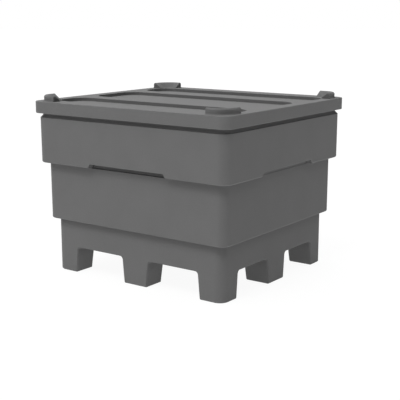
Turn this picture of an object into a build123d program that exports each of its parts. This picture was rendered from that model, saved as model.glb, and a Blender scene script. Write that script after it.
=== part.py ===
from build123d import *
import os
from math import cos, radians, tan

# A nestable combo bin and its lift-off stacking lid, two rotationally moulded polyethylene pieces.
# Millimetres, +Z up. The origin is on the floor under the bin's centre and +X runs along the long side.
# An inset is a distance in from the lid's outline, the widest outline of the object.

# Lid
lid_length = 1220.0
lid_width = 1110.0
lid_corner_radius = 54.0
lid_rim_height = 60.0
lid_top_edge_radius = 3.0
lid_bottom_edge_chamfer = 2.0
lid_skin = 6.0

# Lid top: three sunk panels, parted by two ribs that run along X
panel_depth = 17.0
panel_wall_draft = 6.0
panel_corner_radius = 80.0
rim_at_panel_ends = 64.0
rim_at_panel_sides = 95.0
rib_width = 87.0
middle_panel_width = 330.0

# Lid corners: lugs whose inner slopes guide the corner legs of an equal bin stacked above
lug_inset = 22.0
lug_side = 116.0
lug_corner_radius = 84.0
lug_height = 29.5
lug_top_width = 13.0
lug_edge_chamfer = 6.0
stack_clearance = 1.0

# Lid underside: a plug that keeps the lid from sliding off the rim
plug_depth = 18.0
plug_clearance = 4.0
plug_draft = 10.0
plug_edge_chamfer = 5.0

# Bin wall
wall = 8.0
lid_overhang = 15.0
rim_ledge_width = 15.0
rim_lip_height = 21.5
upper_step = 34.0
lower_step = 27.5
wall_draft = 0.25
band_corner_radius = 55.0
middle_corner_radius = 44.0
base_corner_radius = 50.0
ledge_edge_radius = 8.0
seat_gap = 0.3

# Heights of the tiers, from the floor up
fork_way_height = 135.5
base_wall_height = 144.5
middle_wall_height = 296.5
band_height = 235.0

# Legs, sized at the foot
middle_leg_width = 145.0
corner_leg_length = 135.5
corner_leg_width = 120.0
leg_taper = 5.0
fork_way_radius = 18.0
leg_edge_chamfer = 5.0
foot_edge_radius = 7.0

# Grip pockets under the upper ledge of the long sides, plain notches under that of the short sides
grip_length = 464.0
grip_height = 21.0
grip_end_slope = 14.0
grip_lip_drop = 3.0
grip_undercut = 14.0
notch_length = 448.0

# Room by which a cut runs past the face that it opens
cut_margin = 20.0

# Heights and insets that follow from the sizes above
lower_ledge_z = fork_way_height + base_wall_height
upper_ledge_z = lower_ledge_z + middle_wall_height
rim_edge_z = upper_ledge_z + band_height
seat_z = rim_edge_z + rim_lip_height
lid_bottom_z = seat_z + seat_gap
lid_top_z = lid_bottom_z + lid_rim_height
band_inset = lid_overhang + band_height * tan(radians(wall_draft))
middle_inset = band_inset + upper_step
base_inset = middle_inset + lower_step
lip_inset = lid_overhang + rim_ledge_width
lip_corner_radius = band_corner_radius - rim_ledge_width
mouth_inset = lip_inset + wall


def ring(inset, radius, z):
    """A rounded rectangle, set in from the lid's outline, at one height."""
    return Pos(0, 0, z) * RectangleRounded(lid_length - 2 * inset, lid_width - 2 * inset, radius)


def tier(inset, radius, low_z, high_z, draft):
    """A block that stands on a ring and widens upwards by its draft."""
    return extrude(ring(inset, radius, low_z), high_z - low_z, taper=-draft)


def rounded_bottom(block, radius):
    """The block with its lowest edges rounded."""
    return fillet(block.edges().group_by(Axis.Z)[0], radius)


def fork_way(leg_side, far_side, grow):
    """The outline of a fork way between two tapered legs, made larger all round by grow."""
    lean = tan(radians(leg_taper))
    spread = grow / cos(radians(leg_taper))
    near = leg_side - spread
    far = far_side + spread
    top = fork_way_height + grow
    low = -cut_margin
    corners = [
        (near + low * lean, low),
        (far - low * lean, low),
        (far - top * lean, top),
        (near + top * lean, top),
    ]
    profile = make_face(Polyline(*corners, close=True))
    return fillet(profile.vertices().group_by(Axis.Y)[-1], fork_way_radius + grow)


def fork_ways(grow):
    """The four crossing fork ways that leave nine legs standing."""
    along_y = fork_way(middle_leg_width / 2, lid_length / 2 - base_inset - corner_leg_length, grow)
    along_x = fork_way(middle_leg_width / 2, lid_width / 2 - base_inset - corner_leg_width, grow)
    way_y = extrude(Plane.XZ * along_y, lid_width, both=True)
    way_x = extrude(Plane.YZ * along_x, lid_length, both=True)
    return [way_y, mirror(way_y, Plane.YZ), way_x, mirror(way_x, Plane.XZ)]


def base_form(grow):
    """The base tier as a full block, cut into nine legs below."""
    base = tier(base_inset + grow, base_corner_radius - grow, grow, lower_ledge_z + grow, 0)
    for way in fork_ways(grow):
        base -= way
    return base


def fork_way_mouths(base):
    """The edges where the fork ways open in the base's four sides."""
    sides = [base.faces().sort_by(axis)[end] for axis in (Axis.X, Axis.Y) for end in (0, -1)]
    edges = [edge for side in sides for edge in side.edges()]
    high_z = lower_ledge_z - cut_margin
    return [edge for edge in edges if foot_edge_radius < edge.bounding_box().max.Z < high_z]


def crossing_edges(base):
    """The upright leg edges inside, where two fork ways cross."""
    inside_x = lid_length / 2 - base_inset - corner_leg_length / 2
    inside_y = lid_width / 2 - base_inset - corner_leg_width / 2
    inner = base.edges().filter_by_position(Axis.X, -inside_x, inside_x)
    inner = inner.filter_by_position(Axis.Y, -inside_y, inside_y)
    return [edge for edge in inner if edge.bounding_box().size.Z > fork_way_height / 2]


def outside_base():
    """The base tier's outside, with the edges of the legs and feet broken."""
    base = base_form(0.0)
    base = chamfer(fork_way_mouths(base) + crossing_edges(base), leg_edge_chamfer)
    return rounded_bottom(base, foot_edge_radius)


def slot_outline(length, low_z, grow):
    """A long low slot with sloping ends, made larger all round by grow."""
    top = length / 2 + grow
    foot = top + grip_end_slope
    high_z = upper_ledge_z + grip_height + grow
    corners = [(-foot, low_z - grow), (foot, low_z - grow), (top, high_z), (-top, high_z)]
    return make_face(Polyline(*corners, close=True))


def grips(grow):
    """Undercut grip pockets in the long sides and plain notches in the short sides."""
    pocket = slot_outline(grip_length, upper_ledge_z - grip_lip_drop, grow)
    pocket_reach = middle_inset + grip_undercut + grow
    front = extrude(Plane.XZ.offset(lid_width / 2 - pocket_reach) * pocket, pocket_reach + cut_margin)
    notch = slot_outline(notch_length, upper_ledge_z, grow)
    notch_reach = middle_inset + grow
    side = extrude(Plane.YZ.offset(lid_length / 2 - notch_reach) * notch, notch_reach + cut_margin)
    return [front, mirror(front, Plane.XZ), side, mirror(side, Plane.YZ)]


def bin_form(base, grow, edge_radius):
    """The bin as a full block. With grow it is the space inside a wall of that thickness."""
    low_z = lower_ledge_z + grow
    high_z = upper_ledge_z + grow
    rim_z = rim_edge_z - grow
    middle = tier(middle_inset + grow, middle_corner_radius - grow, low_z, high_z, wall_draft)
    band = tier(band_inset + grow, band_corner_radius - grow, high_z, rim_z, wall_draft)
    lip = tier(lip_inset + grow, lip_corner_radius - grow, rim_z, seat_z, 0)
    if edge_radius > 0:
        middle = rounded_bottom(middle, edge_radius)
        band = rounded_bottom(band, edge_radius)
    form = base + middle + band + lip
    for slot in grips(grow):
        form -= slot
    return form


def bin_body():
    """The bin: one moulding with a wall of even thickness, hollow legs and an open mouth."""
    outside = bin_form(outside_base(), 0.0, ledge_edge_radius)
    inside = bin_form(base_form(wall), wall, 0.0)
    return outside - inside


def panel(width, y, grow):
    """One sunk panel of the lid's top, made larger all round by grow. It is cut up past the lugs' toes."""
    lean = panel_depth * tan(radians(panel_wall_draft))
    length = lid_length - 2 * rim_at_panel_ends
    corner = min(panel_corner_radius, width / 2 - lid_skin)
    floor_z = lid_top_z - panel_depth - grow
    floor = RectangleRounded(length + 2 * (grow - lean), width + 2 * (grow - lean), corner + grow - lean)
    return extrude(Pos(0, y, floor_z) * floor, panel_depth + grow + lug_height, taper=-panel_wall_draft)


def panels(grow):
    """The three sunk panels."""
    inner_edge = middle_panel_width / 2 + rib_width
    outer_edge = lid_width / 2 - rim_at_panel_sides
    side_width = outer_edge - inner_edge
    side_y = (outer_edge + inner_edge) / 2
    rear = panel(side_width, side_y, grow)
    return [mirror(rear, Plane.XZ), panel(middle_panel_width, 0, grow), rear]


def lugs():
    """The four corner lugs: the corners of a curb round the lid, upright outside and sloped inside."""
    toe_inset = base_inset - stack_clearance
    top_inset = lug_inset + lug_top_width
    centre_inset = lug_inset + lug_corner_radius
    slopes = [
        ring(toe_inset, centre_inset - toe_inset, lid_top_z),
        ring(top_inset, centre_inset - top_inset, lid_top_z + lug_height),
    ]
    curb = tier(lug_inset, lug_corner_radius, lid_top_z, lid_top_z + lug_height, 0)
    curb = chamfer(curb.edges().group_by(Axis.Z)[-1], lug_edge_chamfer) - loft(slopes, ruled=True)
    lug_reach = lug_inset + lug_side
    span_height = 2 * (lug_height + cut_margin)
    curb -= Pos(0, 0, lid_top_z) * Box(lid_length - 2 * lug_reach, lid_width, span_height)
    curb -= Pos(0, 0, lid_top_z) * Box(lid_length, lid_width - 2 * lug_reach, span_height)
    return curb.solids()


def lid():
    """The lid: one hollow moulding with a flat seat, a plug below it and four lugs on top."""
    rim = tier(0, lid_corner_radius, lid_bottom_z, lid_top_z, 0)
    rim = fillet(rim.edges().group_by(Axis.Z)[-1], lid_top_edge_radius)
    rim = chamfer(rim.edges().group_by(Axis.Z)[0], lid_bottom_edge_chamfer)
    plug_inset = mouth_inset + plug_clearance + plug_depth * tan(radians(plug_draft))
    plug_radius = lip_corner_radius + lip_inset - plug_inset
    plug = tier(plug_inset, plug_radius, lid_bottom_z - plug_depth, lid_bottom_z, plug_draft)
    shape = rim + chamfer(plug.edges().group_by(Axis.Z)[0], plug_edge_chamfer) + lugs()
    for sunk in panels(0.0):
        shape -= sunk
    void_low_z = lid_bottom_z + lid_skin
    void_high_z = lid_top_z - lid_skin
    void = tier(lid_skin, lid_corner_radius - lid_skin, void_low_z, void_high_z, 0)
    for sunk in panels(lid_skin):
        void -= sunk
    plug_void_z = void_low_z - plug_depth
    void += tier(plug_inset + lid_skin, plug_radius - lid_skin, plug_void_z, void_low_z, plug_draft)
    return shape - void


os.makedirs("parts", exist_ok=True)
for name, solid in (("bin_body", bin_body()), ("lid", lid())):
    export_step(solid, f"parts/{name}.step")
    print(name, "volume", round(solid.volume / 1e6, 2), "litres")
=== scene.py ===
# %% [markdown]
# # A combo bin and its stacking lid
# A combo bin carries fruit and other loose harvest from the field to the packing shed. This one is two hollow
# polyethylene mouldings: a stepped bin that stands on nine legs, and a lid that lifts off.
# The solids come from the CAD model at their real size, in metres, and they are the fixed frame of the scene.

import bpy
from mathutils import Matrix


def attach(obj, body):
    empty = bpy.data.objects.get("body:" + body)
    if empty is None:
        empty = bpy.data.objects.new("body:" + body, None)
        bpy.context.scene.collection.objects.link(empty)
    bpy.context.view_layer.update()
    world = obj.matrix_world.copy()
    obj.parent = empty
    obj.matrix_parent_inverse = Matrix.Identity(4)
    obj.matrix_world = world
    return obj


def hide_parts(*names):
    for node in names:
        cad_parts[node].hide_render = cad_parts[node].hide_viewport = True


mm_per_metre = 1000

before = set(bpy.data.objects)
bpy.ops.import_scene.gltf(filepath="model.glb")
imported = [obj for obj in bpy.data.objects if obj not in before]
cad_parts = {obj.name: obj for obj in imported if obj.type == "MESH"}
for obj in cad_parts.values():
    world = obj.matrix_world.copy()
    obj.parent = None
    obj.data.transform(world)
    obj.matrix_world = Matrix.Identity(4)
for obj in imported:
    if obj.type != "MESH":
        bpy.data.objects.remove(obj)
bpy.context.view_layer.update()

# %% [markdown]
# ## Camera
# The picture was taken from a little above the rim, with one corner of the bin turned to the viewer.
# A camera could be aimed by eye, but edges of the real bin that are known to be level or plumb fix the view much
# better. The angles, the distance and the focal length below make those edges fall where the picture has them.

# %% Set the camera
import math

import bpy
from mathutils import Matrix, Vector

image_width_px = 400
focal_length_px = 906.8
camera_azimuth = math.radians(36.08)
camera_elevation = math.radians(11.867)
camera_roll = math.radians(-0.085)
camera_distance = 4.8338
camera_slide_right = 0.0446
camera_slide_up = -0.0445
camera_target = Vector((0, 0, 0.4))

backward = Vector((
    math.sin(camera_azimuth) * math.cos(camera_elevation),
    -math.cos(camera_azimuth) * math.cos(camera_elevation),
    math.sin(camera_elevation),
))
rightward = Vector((math.cos(camera_azimuth), math.sin(camera_azimuth), 0))
upward = backward.cross(rightward)
turn = Matrix((rightward, upward, backward)).transposed() @ Matrix.Rotation(camera_roll, 3, "Z")
camera_data = bpy.data.cameras.new("camera")
camera_data.lens = camera_data.sensor_width * focal_length_px / image_width_px
camera = bpy.data.objects.new("camera", camera_data)
camera.matrix_world = turn.to_4x4()
camera.location = camera_target + turn @ Vector((camera_slide_right, camera_slide_up, camera_distance))
bpy.context.scene.collection.objects.link(camera)
bpy.context.scene.camera = camera
print("camera at", [round(c, 3) for c in camera.location], "lens", round(camera_data.lens, 1), "mm")

# %% [markdown]
# ## Colours and nodes
# A hex colour is what the eye picks off a swatch, so it is written in sRGB. Shaders add light up, so they need the
# linear value, and one function turns the first into the second. A second function adds a shader node, sets it and
# links it in one go, which keeps each material readable as a short recipe.

# %% Colour and node helpers
def linear(hex_colour):
    """An sRGB hex colour as linear red, green, blue and a full alpha."""
    channels = [int(hex_colour[i:i + 2], 16) / 255 for i in (1, 3, 5)]
    return [c / 12.92 if c <= 0.04045 else ((c + 0.055) / 1.055) ** 2.4 for c in channels] + [1]


def add_node(tree, kind, inputs=None, **settings):
    """A new node with its settings. Each input takes a plain value, or a link where it is given a socket."""
    node = tree.nodes.new(kind)
    for name, value in settings.items():
        setattr(node, name, value)
    for name, value in (inputs or {}).items():
        if isinstance(value, bpy.types.NodeSocket):
            tree.links.new(value, node.inputs[name])
        else:
            node.inputs[name].default_value = value
    return node


print("mid grey #808080 is", round(linear("#808080")[0], 3), "in linear light")

# %% [markdown]
# ## Rotationally moulded polyethylene
# Powdered polyethylene melts against the inside of a turning steel mould, so the outside takes the mould's blasted
# skin: matt and a little waxy, with a fine orange peel. Pigment powder doesn't melt quite evenly, which leaves faint
# clouds a hand's breadth wide and fine specks. Handling rubs the outer edges paler and smoother. The hollow corners,
# under the ledges and in the slots, get painted shade: a darker colour, a little darker on the bin than on the lid.
# A painted picture could carry all that, but noise in the piece's own coordinates has no seams and a known scale.
# Edges and hollows need no picture either. Short rays that are sent into the piece meet its own skin only near an
# outer edge, and rays that are sent out from it meet it only in a hollow, where the shade is painted.

# %% Measures of the skin
cloud_width_mm = 140
cloud_detail = 4
# A real skin's specks and peel are about 1 mm wide. Both are drawn coarser here, so that they show in the picture.
speck_width_mm = 6
speck_detail = 2
speck_share = 0.4
deepest_pigment = 0.3
palest_pigment = 0.7
peel_width_mm = 4
peel_detail = 3
peel_depth_mm = 0.4
peel_strength = 0.15
# Wear and painted shade go by the share of short rays that stay free: where each begins, and where it is complete.
ray_count = 8
rubbed_width_mm = 5
rubbed_below = 0.95
fully_rubbed = 0.6
# Painted shade: how far the outward rays reach, and where its darker colour begins and where it is complete.
painted_shade_reach_mm = 60
painted_shade_below = 1
fully_painted_shade = 0.8
smoothest_wax = 0.78
roughest_wax = 0.88
rubbed_roughness = 0.6
polyethylene_ior = 1.51
waxy_specular = 0.3
print("clouds", cloud_width_mm, "mm, specks", speck_width_mm, "mm and peel", peel_width_mm, "mm wide")

# %% Bin and lid material
def moulded_polyethylene(name, deep, pale, rubbed, painted_shade_colour):
    """Grey polyethylene: clouds and specks, rubbed edges, painted shade in the hollows, a waxy sheen and an
    orange-peel skin.
    """
    material = bpy.data.materials.new(name)
    material.use_nodes = True
    tree = material.node_tree
    shader = tree.nodes["Principled BSDF"]
    place = add_node(tree, "ShaderNodeTexCoord").outputs["Object"]
    noise = "ShaderNodeTexNoise"
    clouds = add_node(tree, noise, {
        "Vector": place, "Scale": mm_per_metre / cloud_width_mm, "Detail": cloud_detail}).outputs["Fac"]
    specks = add_node(tree, noise, {
        "Vector": place, "Scale": mm_per_metre / speck_width_mm, "Detail": speck_detail}).outputs["Fac"]
    peel = add_node(tree, noise, {
        "Vector": place, "Scale": mm_per_metre / peel_width_mm, "Detail": peel_detail}).outputs["Fac"]

    pigment = add_node(tree, "ShaderNodeMix", {"Factor": speck_share, "A": clouds, "B": specks}).outputs["Result"]
    body = add_node(tree, "ShaderNodeValToRGB", {"Fac": pigment})
    stops = ((deepest_pigment, deep), (palest_pigment, pale))
    for stop, (position, shade) in zip(body.color_ramp.elements, stops):
        stop.position = position
        stop.color = linear(shade)

    short_rays = "ShaderNodeAmbientOcclusion"
    inward = add_node(tree, short_rays, {"Distance": rubbed_width_mm / mm_per_metre},
                      inside=True, only_local=True, samples=ray_count).outputs["AO"]
    # Rays sent outward stay free except in hollows, under ledges and in slots, where a darker colour is painted as
    # shade.
    outward = add_node(tree, short_rays, {"Distance": painted_shade_reach_mm / mm_per_metre},
                       only_local=True, samples=ray_count).outputs["AO"]
    spread = "ShaderNodeMapRange"
    edges = add_node(tree, spread, {
        "Value": inward, "From Min": rubbed_below, "From Max": fully_rubbed}).outputs[0]
    painted_shade_mask = add_node(tree, spread, {
        "Value": outward, "From Min": painted_shade_below, "From Max": fully_painted_shade}).outputs[0]
    worn = add_node(tree, "ShaderNodeMath", {0: edges, 1: specks}, operation="MULTIPLY").outputs[0]
    handled = add_node(tree, "ShaderNodeMix", {"Factor": worn, "A": body.outputs["Color"], "B": linear(rubbed)},
                       data_type="RGBA").outputs["Result"]
    colour = add_node(tree, "ShaderNodeMix", {"Factor": painted_shade_mask, "A": handled, "B": linear(painted_shade_colour)},
                      data_type="RGBA").outputs["Result"]
    tree.links.new(colour, shader.inputs["Base Color"])

    wax = add_node(tree, spread, {"Value": clouds, "To Min": smoothest_wax, "To Max": roughest_wax}).outputs[0]
    smoothed = add_node(tree, "ShaderNodeMix", {"Factor": worn, "A": wax, "B": rubbed_roughness}).outputs["Result"]
    tree.links.new(smoothed, shader.inputs["Roughness"])
    skin = add_node(tree, "ShaderNodeBump",
                    {"Height": peel, "Strength": peel_strength, "Distance": peel_depth_mm / mm_per_metre})
    tree.links.new(skin.outputs["Normal"], shader.inputs["Normal"])
    shader.inputs["IOR"].default_value = polyethylene_ior
    shader.inputs["Specular IOR Level"].default_value = waxy_specular
    print("material", name, "with", len(tree.nodes), "nodes")
    return material


# The last colour of each material is painted shade for the hollows, a little darker on the bin than on the lid.
bin_polyethylene = moulded_polyethylene(
    "rotationally_moulded_polyethylene_bin", deep="#6e6e6e", pale="#747474", rubbed="#808080", painted_shade_colour="#6a6a6a")
lid_polyethylene = moulded_polyethylene(
    "rotationally_moulded_polyethylene_lid", deep="#6e6e6e", pale="#747474", rubbed="#808080", painted_shade_colour="#6f6f6f")

# %% [markdown]
# ## Two mouldings
# The bin and the lid are each moulded in one go, so neither has a seam. The CAD solids have their shape, but they
# come as loose flat triangles with sharp edges.
# The finish could go straight on the solids, and would show every sharp edge. Here each solid is copied, and the
# copy's triangles are joined into whole faces, so that the next steps find the true edges and can work on them.

# %% Join the triangles
import bmesh

joined_within = 0.00001
flat_within = math.radians(0.2)


def joined_copy(node_name):
    """A copy of a solid, with its triangles joined into whole faces."""
    shape = bmesh.new()
    shape.from_mesh(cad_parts[node_name].data)
    triangles = len(shape.faces)
    bmesh.ops.remove_doubles(shape, verts=shape.verts, dist=joined_within)
    bmesh.ops.dissolve_limit(shape, angle_limit=flat_within, verts=shape.verts, edges=shape.edges)
    print(node_name, triangles, "triangles joined into", len(shape.faces), "faces")
    return shape


bin_shape = joined_copy("bin_body")
lid_shape = joined_copy("lid")

# %% [markdown]
# ## Grip pockets
# Under the upper ledge, each long side has a low slot for fingers or a hook. Its back wall leans, because a square
# wall in so deep a slot would hold the moulding in its mould, and the lean is what catches a little light in there.
# The wall could be cut anew, but it is enough to draw its lower edge forward: the faces on both sides follow.

# %% Lean the pockets' back walls
pocket_floor_height = 0.5735
pocket_back = 0.491
pocket_lean = 0.009
level_within = 0.0005

for side in (-1, 1):
    foot = [v for v in bin_shape.verts if abs(v.co.z - pocket_floor_height) < level_within
            and abs(side * v.co.y - pocket_back) < level_within]
    bmesh.ops.translate(bin_shape, verts=foot, vec=(0, side * pocket_lean, 0))
    print("pocket", side, "has", len(foot), "corners drawn forward")

# %% [markdown]
# ## Soft edges
# No moulded edge is truly sharp: the melt leaves a small radius even where the mould has none. The large radii are
# in the CAD solids already, and the small ones are added here, where they cost little.
# A Bevel modifier could round everything, but it would round the finely faceted arcs again. So only the square
# outer edges are bevelled, which the angle between their two faces tells apart.

# %% Round the outer edges
edge_radius = 0.0025
edge_segments = 3
square_above = math.radians(60)

for name, shape in (("bin", bin_shape), ("lid", lid_shape)):
    square = [edge for edge in shape.edges if edge.calc_face_angle_signed(0) > square_above]
    bmesh.ops.bevel(shape, geom=square, offset=edge_radius, offset_type="OFFSET", affect="EDGES",
                    segments=edge_segments, profile=0.5, material=-1)
    print(name, len(square), "edges rounded")

# %% [markdown]
# ## Groove under the lid
# The rim steps in below the lid and leaves a dark groove all round, where fingers get under the lid's edge. Its
# tone is even from top to bottom, so its foot is a slope that sheds water and not a flat shelf.
# A strip could be laid in the groove, but then it would be a piece of its own. A bevel with one segment on the hollow
# edge turns the same moulding's corner into that slope.

# %% Slope the rim's shoulder
rim_height = 0.8115
shoulder_width = 0.012
shoulder_segments = 1

hollow = [edge for edge in bin_shape.edges if edge.calc_face_angle_signed(0) < -square_above
          and all(abs(v.co.z - rim_height) < level_within for v in edge.verts)]
bmesh.ops.bevel(bin_shape, geom=hollow, offset=shoulder_width, offset_type="OFFSET", affect="EDGES",
                segments=shoulder_segments, profile=0.5, material=-1)
print(len(hollow), "hollow edges sloped,", round(mm_per_metre * shoulder_width), "mm wide")

# %% [markdown]
# ## Feet of the lugs
# The lid's corner lugs don't stand square on its rim. The mould's own edges are ground round, so that the melt lies on
# them evenly, and that leaves a hollow curve where a lug's outer wall meets the rim.
# A bevel could make that curve, but it fails at the lug's ends, where the curve runs out. So the walls are cut level
# a few times near the foot, and each row of corners is pushed outward, the lowest row the furthest.

# %% Curve the lugs' feet
lid_top = 0.8933
lug_centre = (0.504, 0.449)
lug_radius = 0.084
foot_radius = 0.008
foot_segments = 4


def reach_from_centre(place):
    """How far a place lies out past the nearest lug's centre, along each level axis."""
    out = [math.copysign(max(abs(along) - centre, 0), along) for along, centre in zip(place, lug_centre)]
    return Vector((*out, 0))


foot_rows = []
for step in range(foot_segments + 1):
    angle = math.radians(90 * step / foot_segments)
    foot_rows.append((foot_radius * (1 - math.sin(angle)), foot_radius * (1 - math.cos(angle))))
for rise, _ in foot_rows[:-1]:
    bmesh.ops.bisect_plane(lid_shape, geom=lid_shape.verts[:] + lid_shape.edges[:] + lid_shape.faces[:],
                           plane_co=(0, 0, lid_top + rise), plane_no=(0, 0, 1))
for rise, push in foot_rows:
    row = [v for v in lid_shape.verts if abs(v.co.z - lid_top - rise) < level_within
           and abs(reach_from_centre(v.co).length - lug_radius) < level_within]
    for corner in row:
        corner.co += push * reach_from_centre(corner.co).normalized()
    print(len(row), "corners", round(mm_per_metre * rise, 1), "mm up, pushed", round(mm_per_metre * push, 1), "mm out")

# %% [markdown]
# ## The finished pieces
# Each worked copy now stands for its solid: the bin stays on the floor, and the lid rises with its own body.
# Smooth shading hides the facets of the arcs, but alone it would also bend the light on the flat walls. Edges
# steeper than a limit are kept sharp, and normals that are weighted by area leave the large faces flat.

# %% Add the bin and the lid
smooth_below = math.radians(30)


def add_piece(name, shape, material, node_name, body):
    """A finished piece that replaces a solid and moves with its body."""
    for face in shape.faces:
        face.smooth = True
    mesh = bpy.data.meshes.new(name)
    shape.to_mesh(mesh)
    shape.free()
    mesh.set_sharp_from_angle(angle=smooth_below)
    mesh.materials.clear()
    mesh.materials.append(material)
    piece = bpy.data.objects.new(name, mesh)
    bpy.context.scene.collection.objects.link(piece)
    piece.modifiers.new("flat_faces_stay_flat", "WEIGHTED_NORMAL").keep_sharp = True
    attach(piece, body)
    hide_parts(node_name)
    print(name, len(mesh.polygons), "faces")


add_piece("moulded_bin", bin_shape, bin_polyethylene, "bin_body", "bin")
add_piece("moulded_lid", lid_shape, lid_polyethylene, "lid", "lid")

# %% [markdown]
# ## Floor and backdrop
# The bin stands in a plain pale studio. One large disc is the floor, and the world behind it is white where it is
# seen directly or as a reflection, so no edge or horizon shows.
# A floor can be lit until it burns out to white, but that light would bleach the bin as well. Here the floor glows
# for the camera and for reflections alone, with a little plain paint mixed in that keeps the bin's shadow. The light
# that it throws back on the bin comes from a glow and more paint, so it is darker under the bin.

# %% Floor
floor_radius = 60.0
floor_sides = 64
floor_drop = 0.0005

floor_shape = bmesh.new()
bmesh.ops.create_circle(floor_shape, cap_ends=True, segments=floor_sides, radius=floor_radius)
bmesh.ops.translate(floor_shape, verts=floor_shape.verts, vec=(0, 0, -floor_drop))
floor_mesh = bpy.data.meshes.new("studio_floor")
floor_shape.to_mesh(floor_mesh)
floor_shape.free()
floor = bpy.data.objects.new("studio_floor", floor_mesh)
bpy.context.scene.collection.objects.link(floor)
print("floor radius", floor_radius, "m")

# %% Floor paint
floor_white = "#f4f4f4"
seen_paint_share = 0.12
seen_glow_strength = 1.06
bounce_paint_share = 0.6
bounce_glow_strength = 1.385


def seen_as_background(tree):
    """One for rays that show a surface itself, directly, mirrored or through glass. Nought for stray light."""
    rays = add_node(tree, "ShaderNodeLightPath").outputs
    mirrored = add_node(tree, "ShaderNodeMath", {0: rays["Is Glossy Ray"], 1: rays["Is Transmission Ray"]},
                        operation="MAXIMUM")
    seen = add_node(tree, "ShaderNodeMath", {0: rays["Is Camera Ray"], 1: mirrored.outputs[0]}, operation="MAXIMUM")
    return seen.outputs[0]


floor_paint = bpy.data.materials.new("matt_floor_paint")
floor_paint.use_nodes = True
floor_tree = floor_paint.node_tree
floor_tree.nodes.clear()
paint = add_node(floor_tree, "ShaderNodeBsdfDiffuse", {"Color": linear(floor_white)}).outputs[0]
seen_glow = add_node(floor_tree, "ShaderNodeEmission", {"Strength": seen_glow_strength}).outputs[0]
bounce_glow = add_node(floor_tree, "ShaderNodeEmission", {"Strength": bounce_glow_strength}).outputs[0]
mix = "ShaderNodeMixShader"
seen_floor = add_node(floor_tree, mix, {0: seen_paint_share, 1: seen_glow, 2: paint}).outputs[0]
bounce_floor = add_node(floor_tree, mix, {0: bounce_paint_share, 1: bounce_glow, 2: paint}).outputs[0]
either = add_node(floor_tree, mix, {0: seen_as_background(floor_tree), 1: bounce_floor, 2: seen_floor}).outputs[0]
add_node(floor_tree, "ShaderNodeOutputMaterial", {"Surface": either})
floor_mesh.materials.append(floor_paint)
print("material", floor_paint.name, "with", len(floor_tree.nodes), "nodes")

# %% [markdown]
# ## Light
# The studio is lit from high in front of the long side, by one lamp. A second one, so broad that it throws hardly any
# shadow, stands over the left end. The rest is light from the pale floor, which reaches the upright sides and the
# undersides of the ledges. That is why the tops are palest, the long side is next and the short side is darkest.
# Area lamps would do as well, but a sun has the same strength everywhere, so the bin's place doesn't matter.

# %% World and lamps
backdrop_white = "#ffffff"

world = bpy.data.worlds.new("studio_world")
world.use_nodes = True
bpy.context.scene.world = world
backdrop = world.node_tree.nodes["Background"].inputs
backdrop["Color"].default_value = linear(backdrop_white)
world.node_tree.links.new(seen_as_background(world.node_tree), backdrop["Strength"])


def soft_sun(name, azimuth_deg, elevation_deg, strength, spread_deg):
    """A far lamp, wide enough for soft shadows. Its azimuth runs from the front of the long side to the left."""
    lamp = bpy.data.lights.new(name, "SUN")
    lamp.energy = strength
    lamp.angle = math.radians(spread_deg)
    holder = bpy.data.objects.new(name, lamp)
    holder.rotation_euler = (math.radians(90 - elevation_deg), 0, math.radians(-azimuth_deg))
    bpy.context.scene.collection.objects.link(holder)


soft_sun("key_light", azimuth_deg=0, elevation_deg=58, strength=0.76, spread_deg=20)
soft_sun("top_light", azimuth_deg=90, elevation_deg=70, strength=2.3, spread_deg=110)
bpy.context.scene.view_settings.view_transform = "Standard"
